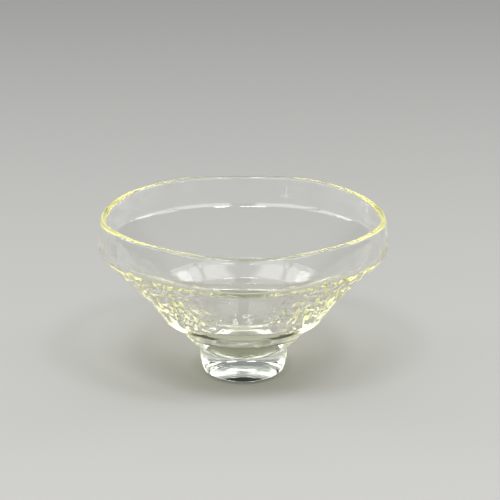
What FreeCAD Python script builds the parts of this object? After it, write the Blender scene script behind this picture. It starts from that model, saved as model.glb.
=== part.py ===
"""Art glass bowl: a mould-blown stepped vessel on a solid glass foot.

Both pieces are turned about Z.  The vessel is one wall of glass that steps in
three tiers from an upright band to a closed bottom, and that bottom is fused to
the flat top of the foot.  Millimetres; +Z is up and the origin is the centre of
the ground base.
"""
import FreeCAD, Part
import os
from collections import namedtuple

import Sketcher

SHEET = "Sizes"

# Alias, millimetres, what it measures.  Levels are heights above the ground base.
DRIVING_SIZES = [
    ("overall_height", 78.0, "ground base to the top of the lip"),
    ("band_radius", 65.8, "outside of the band at its lower edge"),
    ("lip_lean", 0.9, "how far the band leans in from there up to its lip"),
    ("band_wall", 3.0, "wall of the band, and of its lip, rounded over in the flame"),
    ("shoulder_level", 62.1, "lower edge of the band"),
    ("shoulder_rounding", 6.5, "outside rounding of that edge"),
    ("shoulder_wall", 3.2, "wall of the shoulder under the band"),
    ("shoulder_run", 21.2, "how far the shoulder narrows down to the waist"),
    ("waist_level", 39.4, "height of the crease between shoulder and second tier"),
    ("waist_rounding", 3.0, "softening of that crease"),
    ("tier_wall", 3.6, "wall of the second tier"),
    ("tier_run", 7.3, "how far the second tier narrows down to its lower edge"),
    ("tier_level", 28.7, "height of that edge"),
    ("tier_rounding", 3.6, "outside rounding of that edge"),
    ("ledge_wall", 4.2, "glass under the second tier"),
    ("ledge_run", 7.9, "how far the glass steps in under it to the third tier"),
    ("ledge_level", 22.7, "height of the crease above the third tier"),
    ("ledge_rounding", 1.5, "softening of that crease"),
    ("third_tier_run", 9.4, "how far the third tier narrows down to the foot"),
    ("third_tier_curve", 42.0, "meridian radius of that blown tier"),
    ("inside_rounding", 5.0, "rounding of the steps on the inside"),
    ("floor_thickness", 2.6, "vessel's glass over the middle of the foot"),
    ("seat_level", 13.0, "height of the joint between vessel and foot"),
    ("foot_run", 4.1, "how far the foot narrows down to the ground flat it stands on"),
    ("foot_wall_curve", 21.0, "meridian radius of the bulging foot wall"),
    ("foot_edge_rounding", 3.2, "lower edge of the foot"),
    ("pontil_radius", 7.0, "polished hollow where the iron was broken off"),
    ("pontil_depth", 0.7, "depth of that hollow"),
]


def add_sheet(doc):
    """Write every driving size into the spreadsheet, with its alias."""
    sheet = doc.addObject("Spreadsheet::Sheet", SHEET)
    for row, (alias, size, meaning) in enumerate(DRIVING_SIZES, start=1):
        sheet.set(f"A{row}", meaning)
        sheet.set(f"B{row}", str(size))
        sheet.setAlias(f"B{row}", alias)
    doc.recompute()
    return sheet


def in_sheet(formula):
    """Put the sheet's name before each alias of a formula."""
    words = formula.split()
    aliases = {alias for alias, _, _ in DRIVING_SIZES}
    return " ".join(f"{SHEET}.{word}" if word in aliases else word for word in words)


# A corner of a half-section: formulas of its radius and level, whether the sheet
# holds it there, and whether the stretches run smoothly through it.  A corner that
# is not held settles where the walls and curves that meet there put it.
Corner = namedtuple("Corner", "radius level held smooth", defaults=(True, False))

LIP_RADIUS = "band_radius - lip_lean"
LIP_LEVEL = "overall_height - band_wall / 2"
WAIST_RADIUS = "band_radius - shoulder_run"
TIER_RADIUS = f"{WAIST_RADIUS} - tier_run"
LEDGE_RADIUS = f"{TIER_RADIUS} - ledge_run"
SEAT_RADIUS = f"{LEDGE_RADIUS} - third_tier_run"
BASE_RADIUS = f"{SEAT_RADIUS} - foot_run"
LIP_OUTSIDE = Corner(LIP_RADIUS, LIP_LEVEL)
LIP_INSIDE = Corner(f"{LIP_RADIUS} - band_wall", LIP_LEVEL)
SHOULDER = Corner("band_radius", "shoulder_level")
WAIST = Corner(WAIST_RADIUS, "waist_level")
TIER = Corner(TIER_RADIUS, "tier_level")
LEDGE = Corner(LEDGE_RADIUS, "ledge_level")
SEAT_EDGE = Corner(SEAT_RADIUS, "seat_level")
SEAT_CENTRE = Corner("0", "seat_level")
SHOULDER_INSIDE = Corner("band_radius - band_wall", "shoulder_level + shoulder_wall / 2", False)
WAIST_INSIDE = Corner(f"{WAIST_RADIUS} - tier_wall", "waist_level + tier_wall / 2", False)
TIER_INSIDE = Corner(f"{TIER_RADIUS} - ledge_wall", "tier_level + ledge_wall / 2", False)
DISH_EDGE = Corner(f"{LEDGE_RADIUS} - ledge_wall", "ledge_level + ledge_wall / 2", False, smooth=True)
DISH_CENTRE = Corner("0", "seat_level + floor_thickness")
BASE_EDGE = Corner(BASE_RADIUS, "0", smooth=True)
FOOT_EDGE = Corner(f"{BASE_RADIUS} + foot_edge_rounding", "foot_edge_rounding", False, smooth=True)
PONTIL_EDGE = Corner("pontil_radius", "0")
PONTIL_CENTRE = Corner("0", "pontil_depth")


def add_body(doc, name):
    """Add an empty body that makes the node of this name."""
    body = doc.addObject("PartDesign::Body", name)
    body.Label = name
    return body


class Outline:
    """A half-section on a body's XZ plane, drawn from corner to corner.

    X is the radius and Y the level.  Stretches that name the same corner meet there.
    """

    # Sketcher's own numbers: geometry and point of the origin, and the vertical axis.
    ORIGIN = (-1, 1)
    AXIS = (-2,)

    def __init__(self, body, name):
        self.sketch = body.newObject("Sketcher::SketchObject", name)
        plane = next(p for p in body.Origin.OriginFeatures if p.Role == "XZ_Plane")
        self.sketch.AttachmentSupport = [(plane, "")]
        self.sketch.MapMode = "FlatFace"
        self.ends = {}

    def size(self, formula):
        """The number that a formula of aliases stands for."""
        return float(self.sketch.evalExpression(in_sheet(formula)))

    def place(self, corner):
        """Where a corner lies, or nearly lies when its walls still have to settle it."""
        return FreeCAD.Vector(self.size(corner.radius), self.size(corner.level), 0)

    def tie(self, kind, *arguments, formula=None):
        """Add a constraint, driven from the sheet where it has a formula."""
        if formula is None:
            return self.sketch.addConstraint(Sketcher.Constraint(kind, *arguments))
        size = self.size(formula)
        number = self.sketch.addConstraint(Sketcher.Constraint(kind, *arguments, size))
        self.sketch.setExpression(f"Constraints[{number}]", in_sheet(formula))
        return number

    def hold(self, corner, stretch, end):
        """Fasten an end of a stretch to its corner, smoothly where the corner says so."""
        if corner in self.ends:
            kind = "Tangent" if corner.smooth else "Coincident"
            self.tie(kind, *self.ends[corner], stretch, end)
            return
        self.ends[corner] = (stretch, end)
        if not corner.held:
            return
        if corner.radius == "0":
            self.tie("PointOnObject", stretch, end, *self.AXIS)
        else:
            self.tie("DistanceX", *self.ORIGIN, stretch, end, formula=corner.radius)
        self.tie("DistanceY", *self.ORIGIN, stretch, end, formula=corner.level)

    def line(self, start, end):
        """Draw a straight stretch between two corners."""
        segment = Part.LineSegment(self.place(start), self.place(end))
        stretch = self.sketch.addGeometry(segment, False)
        self.hold(start, stretch, 1)
        self.hold(end, stretch, 2)
        return stretch

    def arc(self, start, end, radius):
        """Draw the shorter arc of a radius that bulges to the right from start to end."""
        first, last = self.place(start), self.place(end)
        chord = last - first
        half = chord.Length / 2
        right = FreeCAD.Vector(chord.y, -chord.x, 0).normalize()
        rise = radius - (radius ** 2 - half ** 2) ** 0.5
        curve = Part.Arc(first, (first + last) / 2 + right * rise, last)
        stretch = self.sketch.addGeometry(curve, False)
        starts_first = (self.sketch.getPoint(stretch, 1) - first).Length < half
        self.hold(start, stretch, 1 if starts_first else 2)
        self.hold(end, stretch, 2 if starts_first else 1)
        return stretch

    def curve(self, start, end, formula):
        """Draw an arc whose radius the sheet drives."""
        stretch = self.arc(start, end, self.size(formula))
        self.tie("Radius", stretch, formula=formula)

    def cap(self, start, end):
        """Draw a half round over two corners of one level."""
        stretch = self.arc(start, end, (self.place(end) - self.place(start)).Length / 2)
        self.tie("DistanceY", *self.ORIGIN, stretch, 3, formula=start.level)

    def dish(self, start, end):
        """Draw an arc whose centre is on the axis, so that it turns into part of a ball."""
        chord = self.place(end) - self.place(start)
        stretch = self.arc(start, end, chord.Length ** 2 / (2 * abs(chord.y)))
        self.tie("PointOnObject", stretch, 3, *self.AXIS)

    def wall(self, inside, outside, formula=None):
        """Run an inside line parallel to an outside one, a wall's thickness away."""
        self.tie("Parallel", inside, outside)
        if formula is not None:
            self.tie("Distance", inside, 1, outside, formula=formula)

    def corner_ring(self, corner):
        """Radius and level that a corner settled at."""
        return self.sketch.getPoint(*self.ends[corner])


def turn(outline):
    """Revolve an outline all round the axis."""
    body = outline.sketch.getParentGeoFeatureGroup()
    feature = body.newObject("PartDesign::Revolution", "Turned")
    feature.Profile = outline.sketch
    feature.ReferenceAxis = (outline.sketch, ["V_Axis"])
    feature.Angle = 360
    body.Document.recompute()
    return feature


def round_rings(base, name, outline, corners, formula):
    """Round the edges that a solid has at some corners of its outline."""
    rings = [outline.corner_ring(corner) for corner in corners]
    edges = []
    for number, edge in enumerate(base.Shape.Edges, start=1):
        if edge.Degenerated or not isinstance(edge.Curve, Part.Circle):
            continue
        here = FreeCAD.Vector(edge.Curve.Radius, edge.Curve.Center.z, 0)
        if any(here.isEqual(ring, 0.01) for ring in rings):
            edges.append(f"Edge{number}")
    body = base.getParentGeoFeatureGroup()
    feature = body.newObject("PartDesign::Fillet", name)
    feature.Base = (base, edges)
    feature.setExpression("Radius", in_sheet(formula))
    body.Document.recompute()
    return feature


def draw_vessel(body):
    """Section of the vessel, from the seat up the outside and down the inside."""
    outline = Outline(body, "VesselSection")
    outline.line(SEAT_CENTRE, SEAT_EDGE)
    outline.curve(SEAT_EDGE, LEDGE, "third_tier_curve")
    ledge = outline.line(LEDGE, TIER)
    tier = outline.line(TIER, WAIST)
    shoulder = outline.line(WAIST, SHOULDER)
    band = outline.line(SHOULDER, LIP_OUTSIDE)
    outline.cap(LIP_OUTSIDE, LIP_INSIDE)
    outline.wall(outline.line(LIP_INSIDE, SHOULDER_INSIDE), band)
    outline.wall(outline.line(SHOULDER_INSIDE, WAIST_INSIDE), shoulder, "shoulder_wall")
    outline.wall(outline.line(WAIST_INSIDE, TIER_INSIDE), tier, "tier_wall")
    outline.wall(outline.line(TIER_INSIDE, DISH_EDGE), ledge, "ledge_wall")
    outline.dish(DISH_CENTRE, DISH_EDGE)
    outline.line(DISH_CENTRE, SEAT_CENTRE)
    return outline


def make_bowl(doc):
    """The vessel: every step is blown round, softer inside than outside."""
    outline = draw_vessel(add_body(doc, "bowl"))
    solid = turn(outline)
    inside = [SHOULDER_INSIDE, WAIST_INSIDE, TIER_INSIDE]
    solid = round_rings(solid, "InsideSteps", outline, inside, "inside_rounding")
    solid = round_rings(solid, "BandEdge", outline, [SHOULDER], "shoulder_rounding")
    solid = round_rings(solid, "Waist", outline, [WAIST], "waist_rounding")
    solid = round_rings(solid, "TierEdge", outline, [TIER], "tier_rounding")
    return round_rings(solid, "Ledge", outline, [LEDGE], "ledge_rounding")


def make_foot(doc):
    """The foot: a solid puck with the vessel's seat on top and a ground base."""
    outline = Outline(add_body(doc, "foot"), "FootSection")
    outline.dish(PONTIL_EDGE, PONTIL_CENTRE)
    outline.line(PONTIL_EDGE, BASE_EDGE)
    outline.curve(BASE_EDGE, FOOT_EDGE, "foot_edge_rounding")
    outline.curve(FOOT_EDGE, SEAT_EDGE, "foot_wall_curve")
    outline.line(SEAT_EDGE, SEAT_CENTRE)
    outline.line(SEAT_CENTRE, PONTIL_CENTRE)
    return turn(outline)


def check(doc):
    """Stop if any object failed or any body is not one sound solid."""
    for item in doc.Objects:
        if {"Invalid", "Error"} & set(item.State):
            raise RuntimeError(f"{item.Name} failed: {item.State}")
    for body in doc.findObjects("PartDesign::Body"):
        if body.Shape.isNull() or not body.Shape.isValid() or len(body.Shape.Solids) != 1:
            raise RuntimeError(f"{body.Label} is not one sound solid")


def main():
    """Build the document and write each body to its own STEP file."""
    doc = FreeCAD.newDocument("GlassBowl")
    add_sheet(doc)
    make_bowl(doc)
    make_foot(doc)
    doc.recompute()
    check(doc)
    os.makedirs("parts", exist_ok=True)
    for body in doc.findObjects("PartDesign::Body"):
        body.Shape.exportStep(f"parts/{body.Label}.step")
        print(body.Label, "volume", round(body.Shape.Volume, 1), "mm3")


main()
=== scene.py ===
"""Looks of an art glass bowl: a mould-blown stepped vessel fused to a solid clear foot.

Two pieces are lathed from half-sections, shaped unevenly as hand finishing leaves
them, and dressed in soda glass.  Both stand on a plain pale floor in soft light.
"""
import logging
import math
from dataclasses import dataclass
from enum import Enum
from typing import Any

import bpy
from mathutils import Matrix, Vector


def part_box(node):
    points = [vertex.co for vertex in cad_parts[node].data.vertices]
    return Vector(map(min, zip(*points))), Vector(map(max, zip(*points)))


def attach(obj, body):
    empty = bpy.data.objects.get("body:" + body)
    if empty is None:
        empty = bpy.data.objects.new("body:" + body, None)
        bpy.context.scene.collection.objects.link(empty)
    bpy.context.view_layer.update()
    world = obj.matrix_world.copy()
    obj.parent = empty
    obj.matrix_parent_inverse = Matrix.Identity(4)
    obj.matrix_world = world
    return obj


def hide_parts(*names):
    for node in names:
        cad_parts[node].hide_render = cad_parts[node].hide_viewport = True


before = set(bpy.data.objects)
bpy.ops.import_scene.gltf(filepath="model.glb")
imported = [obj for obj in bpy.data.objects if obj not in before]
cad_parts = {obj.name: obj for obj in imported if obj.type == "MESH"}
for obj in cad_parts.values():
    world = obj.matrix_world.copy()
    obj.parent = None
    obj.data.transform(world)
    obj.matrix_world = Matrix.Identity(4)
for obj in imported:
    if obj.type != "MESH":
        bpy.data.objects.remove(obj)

MM = 0.001
FUSED = "fused_seat"
GROUND = "ground_base"
BLACK, WHITE = "#000000", "#FFFFFF"
# Steps round the axis, and the widest step along a rounding.
SEGMENTS = 320
ROUND_STEP = math.radians(5)
# Points closer than this are one, and edges up to this sharp are shaded smooth.
WELD = MM / 1000
SMOOTH_ANGLE = math.radians(35)
# A face is flat on a level when its normal is this upright and its middle this near.
UPRIGHT = 0.999
NEAR_LEVEL = 0.1 * MM
# A Mix node's colour sockets, by number, as its sockets for other values bear the same names.
MIX_FROM, MIX_TO, MIXED = 6, 7, 2
# Blender's wood bands repeat every tau / 10 along x + y + z, so this far across them.
BAND_LENGTH = math.tau / 10 / math.sqrt(3)
# How far the bands wander, in radians of a band.
WANDER = 12.0
LOG = logging.getLogger("glass_bowl")
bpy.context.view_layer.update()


# ---------------------------------------------------------------- colours and nodes

def linear(colour: str) -> tuple[float, float, float, float]:
    """Turn an sRGB hex colour into the linear one that shaders take.

    Args:
        colour: six hex digits after a hash.

    Returns:
        Linear red, green, blue and a full alpha.
    """
    values = [int(colour[i:i + 2], 16) / 255 for i in (1, 3, 5)]
    red, green, blue = (v / 12.92 if v <= 0.04045 else ((v + 0.055) / 1.055) ** 2.4 for v in values)
    return red, green, blue, 1.0


def add_node(tree: bpy.types.NodeTree, kind: str, links: dict[Any, Any] | None = None,
             **settings: Any) -> bpy.types.Node:
    """Add a shader node.

    Args:
        tree: node tree that gets the node.
        kind: the node's type, such as ShaderNodeMixShader.
        links: for each input, by name or number, its value or the output that feeds it.
        settings: the node's own properties, such as a Math node's operation.

    Returns:
        The new node.
    """
    node = tree.nodes.new(kind)
    for name, value in settings.items():
        setattr(node, name, value)
    for name, value in (links or {}).items():
        if isinstance(value, bpy.types.NodeSocket):
            tree.links.new(value, node.inputs[name])
        else:
            node.inputs[name].default_value = value
    return node


def emptied(tree: bpy.types.NodeTree) -> bpy.types.NodeTree:
    """Clear a node tree and hand it back."""
    tree.nodes.clear()
    return tree


# ---------------------------------------------------------------- glass

@dataclass(frozen=True)
class SodaGlass:
    """Clear soda-lime glass: what passes through it takes on its tint, by depth.

    Attributes:
        name: the material's name.
        tint: what a ray keeps of each colour, as the absorption's colour.
        density: how much of the rest is lost per metre.
        ground_roughness: how matt the glass is where it was ground flat; the rest is fire-polished.
        ior: soda-lime glass bends light by 1.52.
        shade: colour of the light that falls through glass that faces the lamp.
        edge_shade: colour of the light that falls through glass met edge on.
        edge_blend: how far that edge reaches in.
    """

    name: str
    tint: str
    density: float
    ground_roughness: float = 0.4
    ior: float = 1.52
    shade: str = "#F4F4EE"
    edge_shade: str = "#A5A58F"
    edge_blend: float = 0.35

    def make(self) -> bpy.types.Material:
        """Build the material: glass with a volume, open to lamps, and open at a fused joint.

        Returns:
            The new material.
        """
        material = bpy.data.materials.new(self.name)
        material.use_nodes = True
        tree = emptied(material.node_tree)
        ground = add_node(tree, "ShaderNodeAttribute", attribute_name=GROUND)
        rough = add_node(tree, "ShaderNodeMath", {
            0: ground.outputs["Fac"], 1: self.ground_roughness}, operation="MULTIPLY")
        glass = add_node(tree, "ShaderNodeBsdfPrincipled", {
            "Base Color": (1, 1, 1, 1), "Roughness": rough.outputs[0], "IOR": self.ior,
            "Transmission Weight": 1.0})
        surface = self.lit_through(tree, self.fused(tree, glass.outputs[0]))
        depth = add_node(tree, "ShaderNodeVolumeAbsorption", {
            "Color": linear(self.tint), "Density": self.density})
        add_node(tree, "ShaderNodeOutputMaterial", {"Surface": surface, "Volume": depth.outputs[0]})
        return material

    def fused(self, tree: bpy.types.NodeTree, glass: bpy.types.NodeSocket) -> bpy.types.NodeSocket:
        """Take the surface away where two pieces were melted together, as no joint shows there.

        Args:
            tree: node tree that gets the nodes.
            glass: the surface as it is so far.

        Returns:
            The surface without its fused faces.
        """
        seat = add_node(tree, "ShaderNodeAttribute", attribute_name=FUSED)
        gone = add_node(tree, "ShaderNodeBsdfTransparent")
        mix = add_node(tree, "ShaderNodeMixShader", {0: seat.outputs["Fac"], 1: glass, 2: gone.outputs[0]})
        return mix.outputs[0]

    def lit_through(self, tree: bpy.types.NodeTree, glass: bpy.types.NodeSocket) -> bpy.types.NodeSocket:
        """Let lamps shine through, less where the glass is met edge on, so its shadow is soft.

        Args:
            tree: node tree that gets the nodes.
            glass: the surface as it is so far.

        Returns:
            The surface with a plain way through for the light of lamps.
        """
        edge = add_node(tree, "ShaderNodeLayerWeight", {"Blend": self.edge_blend})
        shade = add_node(tree, "ShaderNodeMix", {
            "Factor": edge.outputs["Facing"], MIX_FROM: linear(self.shade),
            MIX_TO: linear(self.edge_shade)}, data_type="RGBA")
        passed = add_node(tree, "ShaderNodeBsdfTransparent", {"Color": shade.outputs[MIXED]})
        path = add_node(tree, "ShaderNodeLightPath")
        lamps = add_node(tree, "ShaderNodeMath", {
            0: path.outputs["Is Shadow Ray"], 1: path.outputs["Is Diffuse Ray"]}, operation="MAXIMUM")
        mix = add_node(tree, "ShaderNodeMixShader", {0: lamps.outputs[0], 1: glass, 2: passed.outputs[0]})
        return mix.outputs[0]


# Blown and fire-polished soda glass, tinted as by a little iron: clear face on, straw edge on.
STRAW_GLASS = SodaGlass("blown_straw_soda_glass", tint="#EAE700", density=4.2)
# Solid gathered soda glass: nearly without colour, and matt where the base was ground flat.
CLEAR_GLASS = SodaGlass("solid_clear_soda_glass", tint="#DDEDDA", density=6.0)


# ---------------------------------------------------------------- half-sections

Outline = list[Vector]


def crossing(a: Vector, along_a: Vector, b: Vector, along_b: Vector) -> Vector:
    """Point where two straight lines meet.

    Args:
        a: a point of the first line.
        along_a: the first line's direction.
        b: a point of the second line.
        along_b: the second line's direction.

    Returns:
        The point that both lines run through.
    """
    turn = along_a.x * along_b.y - along_a.y * along_b.x
    away = b - a
    return a + along_a * ((away.x * along_b.y - away.y * along_b.x) / turn)


def left_of(direction: Vector) -> Vector:
    """A direction turned a quarter to the left."""
    return Vector((-direction.y, direction.x))


def arc(start: Vector, end: Vector, centre: Vector) -> Outline:
    """Points of the shorter arc between two points, both included.

    Args:
        start: where the arc begins.
        end: where it ends.
        centre: what it turns about.

    Returns:
        The points, a few degrees apart.
    """
    first, last = start - centre, end - centre
    turn = math.atan2(first.x * last.y - first.y * last.x, first.dot(last))
    steps = max(2, math.ceil(abs(turn) / ROUND_STEP))
    points = []
    for step in range(steps + 1):
        angle = turn * step / steps
        cos, sin = math.cos(angle), math.sin(angle)
        points.append(centre + Vector((first.x * cos - first.y * sin, first.x * sin + first.y * cos)))
    return points


def bulge(start: Vector, end: Vector, radius: float) -> Outline:
    """Points of an arc of a given radius that bulges to the right of its way.

    Args:
        start: where the arc begins.
        end: where it ends.
        radius: the radius that it has.

    Returns:
        The points, a few degrees apart.
    """
    chord = end - start
    rise = math.sqrt(radius ** 2 - chord.length_squared / 4)
    return arc(start, end, (start + end) / 2 + left_of(chord.normalized()) * rise)


def softened(before: Vector, corner: Vector, after: Vector, radius: float) -> Outline:
    """Points that round a corner.

    Args:
        before: a point that the outline comes from.
        corner: the corner.
        after: a point that the outline goes to.
        radius: the rounding.

    Returns:
        An arc that touches both stretches.
    """
    back, on = (before - corner).normalized(), (after - corner).normalized()
    half = back.angle(on) / 2
    reach = radius / math.tan(half)
    centre = corner + (back + on).normalized() * (radius / math.sin(half))
    return arc(corner + back * reach, corner + on * reach, centre)


def spaced(points: Outline, spacing: float) -> Outline:
    """Divide the long stretches of an outline evenly.

    Args:
        points: the outline.
        spacing: the longest stretch that stays whole.

    Returns:
        The outline with points added on its long stretches.
    """
    result = [points[0]]
    for start, end in zip(points, points[1:]):
        parts = max(1, math.ceil((end - start).length / spacing))
        result += [start.lerp(end, part / parts) for part in range(1, parts + 1)]
    return result


# ---------------------------------------------------------------- modelling

def deselect() -> None:
    """Leave edit mode and select nothing."""
    if bpy.context.object and bpy.context.object.mode != "OBJECT":
        bpy.ops.object.mode_set(mode="OBJECT")
    bpy.ops.object.select_all(action="DESELECT")


def lathe(name: str, outline: Outline) -> bpy.types.Object:
    """Turn a half-section about Z into a closed piece.

    Args:
        name: the piece's name.
        outline: the half-section in metres, from the axis round to the axis.

    Returns:
        The piece, smooth, with its faces outwards.
    """
    deselect()
    bpy.ops.mesh.primitive_plane_add(size=MM)
    piece = bpy.context.object
    piece.name = piece.data.name = name
    bpy.ops.object.mode_set(mode="EDIT")
    bpy.ops.mesh.select_all(action="SELECT")
    bpy.ops.mesh.merge(type="CENTER")
    bpy.ops.transform.translate(value=(outline[0].x, 0, outline[0].y))
    for start, end in zip(outline, outline[1:]):
        step = end - start
        bpy.ops.mesh.extrude_region_move(TRANSFORM_OT_translate={"value": (step.x, 0, step.y)})
    bpy.ops.mesh.select_all(action="SELECT")
    bpy.ops.mesh.spin(steps=SEGMENTS, angle=math.tau, center=(0, 0, 0), axis=(0, 0, 1))
    bpy.ops.mesh.select_all(action="SELECT")
    bpy.ops.mesh.remove_doubles(threshold=WELD)
    bpy.ops.mesh.normals_make_consistent(inside=False)
    bpy.ops.object.mode_set(mode="OBJECT")
    bpy.ops.object.shade_smooth_by_angle(angle=SMOOTH_ANGLE)
    return piece


def press(piece: bpy.types.Object, place: Vector, by: Vector, reach: float) -> None:
    """Move the glass round one place, less and less towards the reach, as a soft wall gives.

    Args:
        piece: the piece to shape.
        place: where the tool touches.
        by: how far it moves the glass there.
        reach: how far from there the glass still moves.
    """
    deselect()
    piece.select_set(True)
    bpy.context.view_layer.objects.active = piece
    bpy.ops.object.mode_set(mode="EDIT")
    bpy.ops.mesh.select_all(action="DESELECT")
    bpy.ops.object.mode_set(mode="OBJECT")
    nearest = min(piece.data.vertices, key=lambda v: (v.co - place).length_squared)
    nearest.select = True
    bpy.ops.object.mode_set(mode="EDIT")
    bpy.ops.transform.translate(value=by, use_proportional_edit=True,
                                proportional_edit_falloff="SMOOTH", proportional_size=reach)
    bpy.ops.object.mode_set(mode="OBJECT")


class Side(Enum):
    """Which side of the wall a patch lies on."""

    OUTSIDE = 1
    INSIDE = -1


class Grain(Enum):
    """What the waves of a patch look like."""

    CELLS = "CLOUDS"
    STRANDS = "WOOD"


@dataclass(frozen=True)
class Patch:
    """A stretch of wall that cooled unevenly (degrees and millimetres).

    Attributes:
        grain: round cells, or strands that run up the wall and wander together.
        side: outside or inside of the wall.
        bearing: middle of the patch, from the front towards the right.
        spread: how far it reaches to each side of that, fading out.
        low: its lowest level.
        high: its highest level.
        depth: height of its waves.
        width: length of a cell across the bowl, or from strand to strand.
        pitch: length of a cell up the wall, or of the bends that a strand makes.
    """

    grain: Grain
    side: Side
    bearing: float
    spread: float
    low: float
    high: float
    depth: float
    width: float
    pitch: float

    def weight(self, place: Vector, normal: Vector) -> float:
        """How much of the waves a place gets.

        Args:
            place: a point of the wall.
            normal: which way the wall faces there.

        Returns:
            A share from 0 to 1.
        """
        level = place.z / MM
        facing = (normal.x * place.x + normal.y * place.y) * self.side.value
        if facing <= 0 or not self.low < level < self.high:
            return 0.0
        bearing = math.degrees(math.atan2(place.x, -place.y))
        aside = abs((bearing - self.bearing + 180) % 360 - 180) / self.spread
        if aside >= 1:
            return 0.0
        up = (level - self.low) / (self.high - self.low)
        return (math.sin(math.pi * up) ** 0.5) * (math.cos(math.pi * aside) + 1) / 2

    def waves(self, number: int) -> bpy.types.Texture:
        """The texture whose light and dark the wall follows.

        Args:
            number: the patch's number.

        Returns:
            The new texture.
        """
        waves = bpy.data.textures.new(f"waves_{number}", self.grain.value)
        waves.noise_basis = "IMPROVED_PERLIN"
        if self.grain is Grain.CELLS:
            waves.noise_scale, waves.noise_depth = 1.0, 1
        else:
            waves.wood_type, waves.noise_basis_2 = "BANDNOISE", "SIN"
            waves.turbulence, waves.noise_scale = WANDER, self.pitch / self.width * BAND_LENGTH
        return waves

    def press(self, piece: bpy.types.Object, number: int) -> None:
        """Raise the waves on a piece.

        Args:
            piece: the piece to shape.
            number: the patch's number, which sets its waves apart from the others'.
        """
        deselect()
        bpy.context.view_layer.objects.active = piece
        group = piece.vertex_groups.new(name=f"patch_{number}")
        for vertex in piece.data.vertices:
            weight = self.weight(vertex.co, vertex.normal)
            if weight > 0:
                group.add([vertex.index], weight, "REPLACE")
        bpy.ops.object.empty_add(location=(number * self.width * MM, 0, number * self.pitch * MM))
        gauge = bpy.context.object
        if self.grain is Grain.CELLS:
            gauge.scale = self.width * MM, self.width * MM, self.pitch * MM
        else:
            # The bands follow one another along (1, 1, 1), which is turned across the bowl.
            gauge.rotation_euler = Vector((1, 1, 1)).rotation_difference(Vector((1, 0, 0))).to_euler()
            gauge.scale = [self.width / BAND_LENGTH * MM] * 3
        bpy.context.view_layer.update()
        bpy.context.view_layer.objects.active = piece
        lift = piece.modifiers.new("waves", "DISPLACE")
        lift.texture, lift.texture_coords, lift.texture_coords_object = self.waves(number), "OBJECT", gauge
        lift.strength, lift.mid_level, lift.vertex_group = self.depth * MM, 0.5, group.name
        bpy.ops.object.modifier_apply(modifier=lift.name)
        piece.vertex_groups.clear()
        bpy.data.objects.remove(gauge)


def mark(piece: bpy.types.Object, name: str, level: float) -> None:
    """Mark the flat faces at one level for the material.

    Args:
        piece: the vessel or the foot.
        name: the face attribute that says so.
        level: height of the faces.
    """
    marks = piece.data.attributes.new(name, "FLOAT", "FACE")
    for face in piece.data.polygons:
        flat = abs(face.normal.z) > UPRIGHT and abs(face.center.z - level) < NEAR_LEVEL
        marks.data[face.index].value = 1.0 if flat else 0.0


# ---------------------------------------------------------------- the pieces

@dataclass(frozen=True)
class Touch:
    """One place where the hot lip sagged.

    Attributes:
        bearing: degrees round the bowl, from the front towards the right.
        drop: how far the lip sank there (millimetres).
        reach: how far from there the glass still moved (millimetres).
    """

    bearing: float
    drop: float
    reach: float


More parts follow.
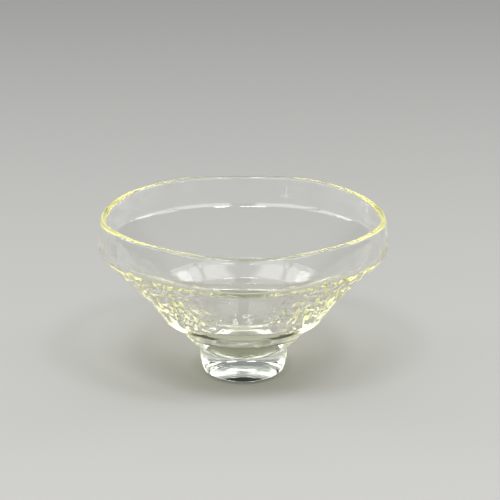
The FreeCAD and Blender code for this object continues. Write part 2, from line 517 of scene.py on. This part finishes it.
@dataclass
class Vessel:
    """The blown vessel: an upright band over a shoulder and rounded tiers (millimetres).

    A level is a height over the base, a run is how far a step leads inwards, and a wall is
    how thick the glass is there.
    """

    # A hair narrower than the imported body's, so that the round wall stays inside its faceted box.
    band_radius: float = 65.78
    lip_lean: float = 0.9
    band_wall: float = 3.0
    shoulder_level: float = 62.1
    shoulder_rounding: float = 6.5
    shoulder_wall: float = 3.2
    shoulder_run: float = 21.2
    waist_level: float = 39.4
    waist_rounding: float = 3.0
    tier_wall: float = 3.6
    tier_run: float = 7.3
    tier_level: float = 28.7
    tier_rounding: float = 3.6
    ledge_wall: float = 4.2
    ledge_run: float = 7.9
    ledge_level: float = 22.7
    ledge_rounding: float = 1.5
    third_tier_curve: float = 42.0
    inside_rounding: float = 5.0
    floor_thickness: float = 2.6
    seat_radius: float = 20.0
    spacing: float = 1.3
    fine_spacing: float = 0.6
    inside_spacing: float = 0.9
    touch_level: float = 78.0
    touches: tuple[Touch, ...] = (
        Touch(4, 1.7, 48),
        Touch(52, 0.6, 30),
        Touch(92, 2.5, 44),
        Touch(128, 1.6, 40),
        Touch(180, 2.0, 52),
        Touch(-132, 1.2, 40),
        Touch(-92, 2.5, 42),
    )
    patches: tuple[Patch, ...] = (
        Patch(Grain.STRANDS, Side.INSIDE, -40, 34, 34.0, 61.0, 1.6, 4.6, 7.0),
        Patch(Grain.STRANDS, Side.INSIDE, 42, 36, 34.0, 61.0, 1.6, 4.4, 7.0),
        Patch(Grain.STRANDS, Side.OUTSIDE, -40, 34, 32.0, 61.0, 0.8, 4.6, 7.0),
        Patch(Grain.STRANDS, Side.OUTSIDE, 42, 36, 32.0, 61.0, 0.8, 4.4, 7.0),
        Patch(Grain.CELLS, Side.OUTSIDE, 0, 180, 24.0, 60.0, 0.12, 24.0, 2.6),
        Patch(Grain.CELLS, Side.OUTSIDE, -50, 20, 62.0, 76.0, 0.7, 4.0, 3.0),
        Patch(Grain.CELLS, Side.OUTSIDE, 46, 14, 62.0, 75.0, 0.7, 4.0, 3.0),
        Patch(Grain.CELLS, Side.INSIDE, -130, 50, 58.0, 77.0, 0.9, 6.0, 4.5),
        Patch(Grain.CELLS, Side.INSIDE, 130, 50, 58.0, 77.0, 0.9, 6.0, 4.5),
        Patch(Grain.CELLS, Side.INSIDE, 0, 180, 24.0, 77.0, 0.25, 28.0, 18.0),
    )

    def __post_init__(self) -> None:
        """Read the seat and the top of the lip off the frame, and place the outside corners."""
        low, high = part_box("bowl")
        self.seat_level = low.z / MM
        self.lip_level = high.z / MM - self.band_wall / 2
        waist = self.band_radius - self.shoulder_run
        tier = waist - self.tier_run
        self.lip = Vector((self.band_radius - self.lip_lean, self.lip_level))
        self.shoulder = Vector((self.band_radius, self.shoulder_level))
        self.waist = Vector((waist, self.waist_level))
        self.tier = Vector((tier, self.tier_level))
        self.ledge = Vector((tier - self.ledge_run, self.ledge_level))

    def outside(self) -> Outline:
        """Half-section of the outside.

        Returns:
            The points, from the axis under the seat up to the lip.
        """
        seat = Vector((self.seat_radius, self.seat_level))
        third_tier = bulge(seat, self.ledge, self.third_tier_curve)
        points = [Vector((0, self.seat_level))] + third_tier[:-1]
        points += softened(third_tier[-2], self.ledge, self.tier, self.ledge_rounding)
        points += softened(self.ledge, self.tier, self.waist, self.tier_rounding)
        points += softened(self.tier, self.waist, self.shoulder, self.waist_rounding)
        points += softened(self.waist, self.shoulder, self.lip, self.shoulder_rounding)
        return points + [self.lip]

    def rim(self) -> Outline:
        """Half round over the lip.

        Returns:
            The points, from outside to inside.
        """
        half = Vector((self.band_wall / 2, 0))
        centre = self.lip - half
        crest = centre + Vector((0, self.band_wall / 2))
        return arc(self.lip, crest, centre) + arc(crest, centre - half, centre)[1:]

    def inside(self) -> Outline:
        """Half-section of the inside.

        Returns:
            The points, from the lip down to the middle of the dished floor.
        """
        band, shoulder = self.shoulder - self.lip, self.shoulder - self.waist
        tier, ledge = self.waist - self.tier, self.tier - self.ledge
        lip = self.lip - Vector((self.band_wall, 0))
        on_shoulder = self.waist + left_of(shoulder.normalized()) * self.shoulder_wall
        on_tier = self.tier + left_of(tier.normalized()) * self.tier_wall
        inwards = left_of(ledge.normalized())
        on_ledge = self.ledge + inwards * self.ledge_wall
        corners = [lip, crossing(lip, band, on_shoulder, shoulder),
                   crossing(on_shoulder, shoulder, on_tier, tier),
                   crossing(on_tier, tier, on_ledge, ledge)]
        bottom = Vector((0, self.seat_level + self.floor_thickness))
        centre = Vector((0, (bottom.y - on_ledge.dot(inwards)) / (1 - inwards.y)))
        edge = centre - inwards * (centre.y - bottom.y)
        points = [lip]
        for before, corner, after in zip(corners, corners[1:], corners[2:] + [edge]):
            points += softened(before, corner, after, self.inside_rounding)
        return points + arc(edge, bottom, centre)

    def outline(self) -> Outline:
        """The whole half-section, more finely divided from the second tier up, for the waves.

        Returns:
            The points in metres, from the axis round to the axis.
        """
        outside = self.outside()
        turn = next(number for number, point in enumerate(outside) if point.y > self.tier_level)
        outside = spaced(outside[:turn], self.spacing)[:-1] + spaced(outside[turn - 1:], self.fine_spacing)
        inside = spaced(self.inside(), self.inside_spacing)
        return [point * MM for point in outside + self.rim()[1:-1] + inside]

    def build(self) -> bpy.types.Object:
        """Lathe the vessel and leave it as uneven as hand finishing does.

        Returns:
            The finished vessel, dressed and on its body.
        """
        piece = lathe("vessel", self.outline())
        mark(piece, FUSED, self.seat_level * MM)
        for touch in self.touches:
            angle = math.radians(touch.bearing - 90)
            out = Vector((math.cos(angle), math.sin(angle), 0))
            place = out * self.lip.x * MM + Vector((0, 0, self.touch_level * MM))
            press(piece, place, Vector((0, 0, -touch.drop)) * MM, touch.reach * MM)
        for number, patch in enumerate(self.patches):
            patch.press(piece, number)
        piece.data.materials.append(STRAW_GLASS.make())
        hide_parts("bowl")
        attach(piece, "root")
        return piece


@dataclass
class Foot:
    """The solid foot: a bulging puck with a ground base and a polished hollow (millimetres)."""

    seat_radius: float = 20.0
    wall_curve: float = 21.0
    edge_rounding: float = 3.2
    base_radius: float = 15.9
    pontil_radius: float = 7.0
    pontil_depth: float = 0.7
    spacing: float = 1.0
    # The seat lies this much under the vessel's, so that no two faces share one place.
    seat_gap: float = 0.02

    def __post_init__(self) -> None:
        """Read the base and the top off the frame."""
        low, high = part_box("foot")
        self.base_level, self.top_level = low.z / MM, high.z / MM

    def outline(self) -> Outline:
        """The whole half-section.

        Returns:
            The points in metres, from the hollow round the wall to the seat.
        """
        base, seat = self.base_level, self.top_level - self.seat_gap
        ball = (self.pontil_radius ** 2 + self.pontil_depth ** 2) / (2 * self.pontil_depth)
        hollow = Vector((0, base + self.pontil_depth))
        points = arc(hollow, Vector((self.pontil_radius, base)), hollow - Vector((0, ball)))
        low_edge = Vector((self.base_radius, base))
        small = low_edge + Vector((0, self.edge_rounding))
        top = Vector((self.seat_radius, seat))
        large = self.wall_centre(small, top)
        touch = large + (small - large).normalized() * self.wall_curve
        points += arc(low_edge, touch, small) + arc(touch, top, large)[1:] + [Vector((0, seat))]
        return [point * MM for point in spaced(points, self.spacing)]

    def wall_centre(self, small: Vector, top: Vector) -> Vector:
        """Centre of the wall's curve, which runs smoothly into the edge's rounding.

        Args:
            small: centre of the edge's rounding.
            top: where the wall ends at the seat.

        Returns:
            The centre, on the axis side.
        """
        inner = self.wall_curve - self.edge_rounding
        way = top - small
        along = (inner ** 2 - self.wall_curve ** 2 + way.length_squared) / (2 * way.length)
        aside = math.sqrt(inner ** 2 - along ** 2)
        return small + way.normalized() * along + left_of(way.normalized()) * aside

    def build(self) -> bpy.types.Object:
        """Lathe the foot.

        Returns:
            The finished foot, dressed and on its body.
        """
        piece = lathe("solid_foot", self.outline())
        mark(piece, FUSED, self.top_level * MM)
        mark(piece, GROUND, self.base_level * MM)
        piece.data.materials.append(CLEAR_GLASS.make())
        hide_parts("foot")
        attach(piece, "root")
        return piece


# ---------------------------------------------------------------- stage, light, camera

@dataclass(frozen=True)
class SoftBox:
    """A softbox that faces the bowl: bearing and height in degrees, metres and watts."""

    name: str
    bearing: float
    height: float
    distance: float
    width: float
    depth: float
    power: float

    def hang(self) -> None:
        """Hang the lamp and turn it to the bowl."""
        around, above = math.radians(self.bearing - 90), math.radians(self.height)
        away = Vector((math.cos(around) * math.cos(above), math.sin(around) * math.cos(above),
                       math.sin(above)))
        deselect()
        bpy.ops.object.light_add(type="AREA", location=away * self.distance)
        lamp = bpy.context.object
        lamp.name = self.name
        lamp.rotation_euler = away.to_track_quat("Z", "Y").to_euler()
        lamp.data.shape = "RECTANGLE"
        lamp.data.size, lamp.data.size_y = self.width, self.depth
        lamp.data.energy = self.power


Stops = tuple[tuple[float, str], ...]


@dataclass
class Studio:
    """Plain pale floor, soft light, a room round them and the camera (metres, degrees)."""

    floor_size: float = 12.0
    floor_drop: float = 0.0001
    floor_colour: str = "#CCCCC9"
    # Pale horizon, dark wall and paler ceiling, by the sine of their height.
    walls: Stops = ((0.10, "#CCCCC9"), (0.35, "#1E2022"), (0.52, "#1E2022"), (0.64, "#8C8E90"))
    # Where the windows begin and end, by the sine of their height.
    sill: Stops = ((0.15, BLACK), (0.18, WHITE), (0.74, WHITE), (0.76, BLACK))
    # Two panes on each side with a bar between, by the turn from the back (0) to the front (1).
    panes: Stops = ((0.0, BLACK), (0.50, WHITE), (0.61, BLACK), (0.64, WHITE), (0.93, BLACK))
    daylight: float = 0.45
    window_glow: float = 1.8
    camera_back: float = 0.647
    camera_height: float = 0.2775
    camera_pitch: float = 18.67
    camera_yaw: float = 0.27
    camera_lens: float = 107.6
    light_turns: int = 128
    lamps: tuple[SoftBox, ...] = (
        SoftBox("softbox_left", -22, 60, 1.2, 0.22, 0.22, 3.0),
        SoftBox("softbox_middle", -3, 60, 1.2, 0.14, 0.14, 1.2),
        SoftBox("softbox_right", 32, 60, 1.2, 0.22, 0.22, 3.0),
        SoftBox("softbox_far_left", -100, 24, 1.2, 0.35, 0.5, 2.4),
        SoftBox("softbox_far_right", 100, 24, 1.2, 0.35, 0.5, 2.4),
    )

    def lay_floor(self) -> None:
        """Lay the matt floor just under the bowl."""
        deselect()
        bpy.ops.mesh.primitive_plane_add(size=self.floor_size, location=(0, 0, -self.floor_drop))
        floor = bpy.context.object
        floor.name = floor.data.name = "floor"
        # Uncoated backdrop paper: without any gloss, so that only the bowl's shadow lies on it.
        material = bpy.data.materials.new("matt_pale_paper")
        material.use_nodes = True
        tree = emptied(material.node_tree)
        paper = add_node(tree, "ShaderNodeBsdfDiffuse", {"Color": linear(self.floor_colour)})
        add_node(tree, "ShaderNodeOutputMaterial", {"Surface": paper.outputs[0]})
        floor.data.materials.append(material)

    def light(self) -> None:
        """Hang the lamps, light all evenly from around, and show the room to the eye and in glass."""
        for lamp in self.lamps:
            lamp.hang()
        world = bpy.data.worlds.new("studio_room")
        bpy.context.scene.world = world
        world.use_nodes = True
        tree = emptied(world.node_tree)
        seen = self.room(tree)
        plain = add_node(tree, "ShaderNodeBackground", {
            "Color": (1, 1, 1, 1), "Strength": self.daylight})
        path = add_node(tree, "ShaderNodeLightPath")
        first = add_node(tree, "ShaderNodeMath", {
            0: path.outputs["Is Camera Ray"], 1: path.outputs["Is Glossy Ray"]}, operation="MAXIMUM")
        direct = add_node(tree, "ShaderNodeMath", {
            0: first.outputs[0], 1: path.outputs["Is Transmission Ray"]}, operation="MAXIMUM")
        mix = add_node(tree, "ShaderNodeMixShader", {
            0: direct.outputs[0], 1: plain.outputs[0], 2: seen.outputs[0]})
        add_node(tree, "ShaderNodeOutputWorld", {"Surface": mix.outputs[0]})

    def room(self, tree: bpy.types.NodeTree) -> bpy.types.Node:
        """The room as glass shows it: dark walls, with tall windows left and right on the near side.

        Args:
            tree: the world's node tree.

        Returns:
            The background that shines as the room does.
        """
        where = add_node(tree, "ShaderNodeTexCoord")
        split = add_node(tree, "ShaderNodeSeparateXYZ", {0: where.outputs["Generated"]})
        across = add_node(tree, "ShaderNodeMath", {
            0: split.outputs["X"], 1: split.outputs["Y"]}, operation="ARCTAN2")
        aside = add_node(tree, "ShaderNodeMath", {0: across.outputs[0]}, operation="ABSOLUTE")
        turn = add_node(tree, "ShaderNodeMath", {0: aside.outputs[0], 1: math.pi}, operation="DIVIDE")
        ramps = []
        for value, stops, interpolation in (
                (split.outputs["Z"], self.walls, "LINEAR"), (turn.outputs[0], self.panes, "CONSTANT"),
                (split.outputs["Z"], self.sill, "LINEAR")):
            ramp = add_node(tree, "ShaderNodeValToRGB", {0: value})
            ramp.color_ramp.interpolation = interpolation
            elements = ramp.color_ramp.elements
            while len(elements) < len(stops):
                elements.new(1.0)
            for element, (position, colour) in zip(elements, stops):
                element.position, element.color = position, linear(colour)
            ramps.append(ramp.outputs[0])
        wall, panes, sill = ramps
        window = add_node(tree, "ShaderNodeMix", {
            "Factor": panes, MIX_FROM: linear(BLACK), MIX_TO: sill}, data_type="RGBA")
        colour = add_node(tree, "ShaderNodeMix", {
            "Factor": window.outputs[MIXED], MIX_FROM: wall, MIX_TO: linear(WHITE)}, data_type="RGBA")
        strength = add_node(tree, "ShaderNodeMath", {
            0: window.outputs[MIXED], 1: self.window_glow, 2: 1.0}, operation="MULTIPLY_ADD")
        return add_node(tree, "ShaderNodeBackground", {
            "Color": colour.outputs[MIXED], "Strength": strength.outputs[0]})

    def set_camera(self) -> None:
        """Stand the camera in front of the bowl, a little above it."""
        deselect()
        turned = (math.radians(90 - self.camera_pitch), 0, -math.radians(self.camera_yaw))
        bpy.ops.object.camera_add(location=(0, -self.camera_back, self.camera_height), rotation=turned)
        camera = bpy.context.object
        camera.name = "camera"
        camera.data.lens = self.camera_lens
        bpy.context.scene.camera = camera

    def build(self) -> None:
        """Set the stage up."""
        scene = bpy.context.scene
        scene.view_settings.view_transform = "Standard"
        # Light runs along inside the wall to the lip and comes out there, after many turns.
        scene.cycles.max_bounces = scene.cycles.transmission_bounces = self.light_turns
        scene.cycles.glossy_bounces = scene.cycles.transparent_max_bounces = self.light_turns
        self.lay_floor()
        self.light()
        self.set_camera()


def report(piece: bpy.types.Object) -> None:
    """Log a finished piece with its size."""
    width, depth, height = (side / MM for side in piece.dimensions)
    LOG.info("%s: %d faces, %.1f x %.1f x %.1f mm", piece.name, len(piece.data.polygons),
             width, depth, height)


def main() -> None:
    """Build the pieces, then the stage."""
    logging.basicConfig(level=logging.INFO, format="%(message)s")
    report(Vessel().build())
    report(Foot().build())
    Studio().build()


if __name__ == "__main__":
    main()
